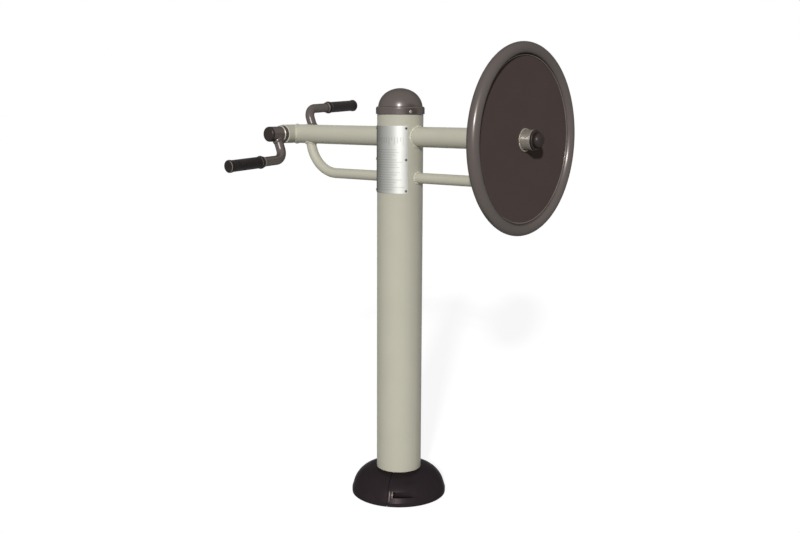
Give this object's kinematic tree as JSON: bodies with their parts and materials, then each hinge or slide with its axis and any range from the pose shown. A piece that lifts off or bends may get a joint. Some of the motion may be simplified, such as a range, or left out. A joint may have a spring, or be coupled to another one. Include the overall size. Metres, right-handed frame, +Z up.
{
  "type": "outdoor arm cycle station",
  "caption": "Outdoor gym arm cycle: a round post with a bolted, covered base and a domed cap, a hand crank with turning grips on its left braced arm and a plated ring wheel on its right.",
  "frame": {"origin": "on the post's axis, at the underside of the base flange", "axes": "+Z up along the post, +X along the wheel's arm, -Y towards the instruction plate"},
  "size_m": [0.9913, 0.6636, 1.3855],
  "materials": {
    "beige_paint": "satin powder coat, warm pale grey",
    "brown_paint": "gloss metallic dark brown coat",
    "plate_steel": "brushed sheet, bare",
    "black_plastic": "moulded, fine matte",
    "grip_rubber": "ribbed black rubber",
    "seal_rubber": "plain black rubber",
    "sleeve_nylon": "moulded nylon",
    "pale_ring": "turned, satin",
    "bright_steel": "ground and turned steel",
    "zinc_steel": "zinc plated"
  },
  "bodies": {
    "stand": {"base_flange": "beige_paint", "base_gussets": "beige_paint", "post_tube": "beige_paint", "dome_cap": "brown_paint", "cap_screws": "zinc_steel", "info_plate": "plate_steel", "plate_rivets": "plate_steel", "boot_wheel_half": "black_plastic", "boot_crank_half": "black_plastic", "boot_screws": "zinc_steel", "left_arm_tube": "beige_paint", "left_brace_tube": "beige_paint", "right_arm_tube": "beige_paint", "right_brace_tube": "beige_paint", "crank_shell": "beige_paint", "crank_bearing_outer_rings": "bright_steel", "crank_retaining_rings": "bright_steel", "crank_shaft_seals": "seal_rubber", "arm_end_plug": "beige_paint", "wheel_axle": "bright_steel", "wheel_bearing_inner_rings": "bright_steel", "wheel_bearing_spacer": "bright_steel", "wheel_axle_washer": "zinc_steel", "wheel_axle_nut": "zinc_steel"},
    "crank": {"crank_axle": "bright_steel", "crank_bearing_inner_rings": "bright_steel", "crank_bearing_balls": "bright_steel", "crank_keys": "bright_steel", "crank_hub_washers": "zinc_steel", "crank_hub_bolts": "zinc_steel", "near_dust_collar": "brown_paint", "far_dust_collar": "brown_paint", "near_crank_hub": "brown_paint", "far_crank_hub": "brown_paint", "near_hub_plug": "black_plastic", "far_hub_plug": "black_plastic", "near_crank_tube": "brown_paint", "far_crank_tube": "brown_paint", "near_handle_pin": "bright_steel", "far_handle_pin": "bright_steel", "near_thrust_ring": "pale_ring", "far_thrust_ring": "pale_ring", "grip_washers": "zinc_steel", "grip_screws": "zinc_steel"},
    "near_grip": {"near_grip_sleeve": "sleeve_nylon", "near_grip": "grip_rubber"},
    "far_grip": {"far_grip_sleeve": "sleeve_nylon", "far_grip": "grip_rubber"},
    "wheel": {"wheel_hub": "brown_paint", "wheel_plate": "brown_paint", "wheel_rim": "brown_paint", "wheel_bearing_outer_rings": "bright_steel", "wheel_bearing_balls": "bright_steel", "wheel_retaining_ring": "bright_steel", "wheel_shaft_seal": "seal_rubber", "wheel_hub_cap": "black_plastic"}
  },
  "joints": [
    {"name": "crank_spin", "type": "hinge", "parent": "stand", "child": "crank", "pos_m": [-0.44, 0, 1.12], "axis": [0, 1, 0], "continuous": true},
    {"name": "near_grip_spin", "type": "hinge", "parent": "crank", "child": "near_grip", "pos_m": [-0.40778, -0.09, 1.04026], "axis": [0.0216, -0.9983, -0.0534], "continuous": true},
    {"name": "far_grip_spin", "type": "hinge", "parent": "crank", "child": "far_grip", "pos_m": [-0.47222, 0.09, 1.19974], "axis": [-0.0216, 0.9983, 0.0534], "continuous": true},
    {"name": "wheel_spin", "type": "hinge", "parent": "stand", "child": "wheel", "pos_m": [0.436, 0, 1.12], "axis": [1, 0, 0], "continuous": true}
  ]
}
